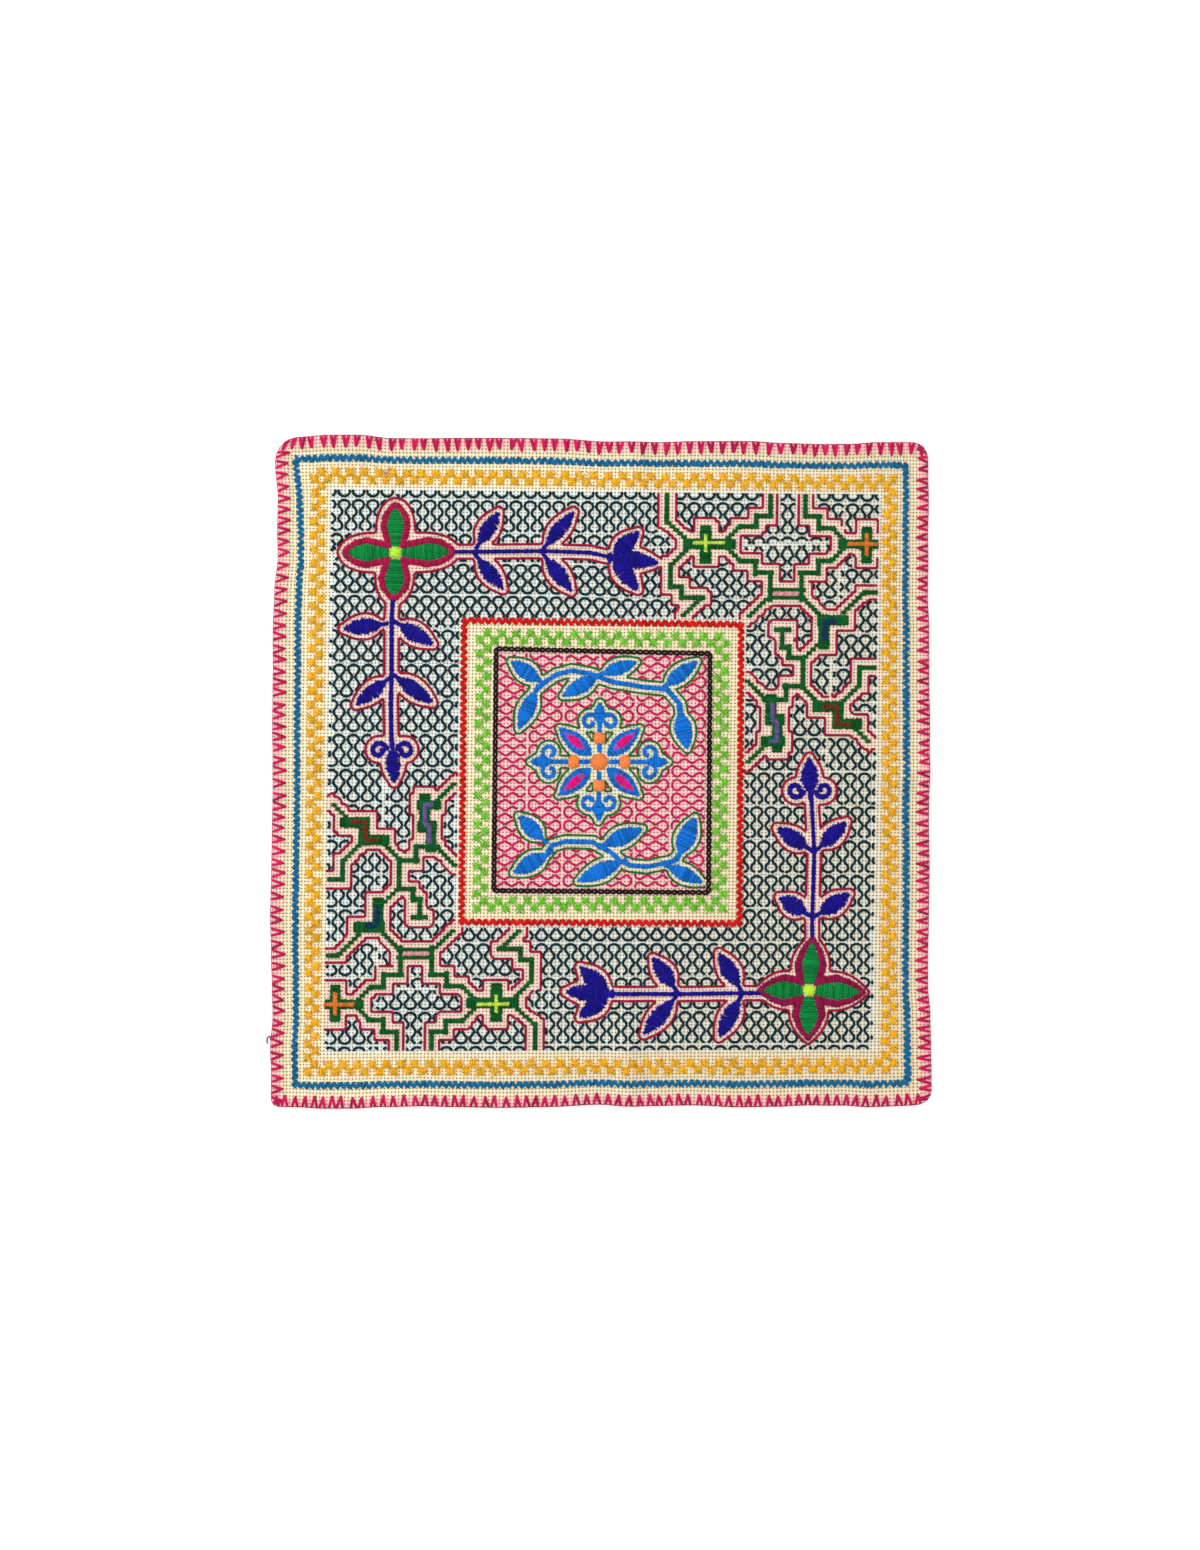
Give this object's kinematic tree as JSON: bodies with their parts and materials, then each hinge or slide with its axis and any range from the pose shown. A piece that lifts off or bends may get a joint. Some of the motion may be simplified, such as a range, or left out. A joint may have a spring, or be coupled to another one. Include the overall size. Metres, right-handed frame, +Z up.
{
  "type": "embroidered cloth",
  "caption": "Small hemmed square of even-weave cotton lying flat, with embroidered borders, corner flowers, leaf sprays, stepped lattice bands and a framed middle panel.",
  "frame": {"origin": "under the middle of the cloth, on the surface it lies on", "axes": "+X across the cloth to the right of the pattern, +Y up the pattern, +Z up off the surface"},
  "size_m": [0.3466, 0.3529, 0.0045],
  "materials": {
    "cotton": "matt even-weave cotton with cotton embroidery"
  },
  "bodies": {
    "root": {"embroidered_cloth": "cotton"}
  },
  "joints": []
}
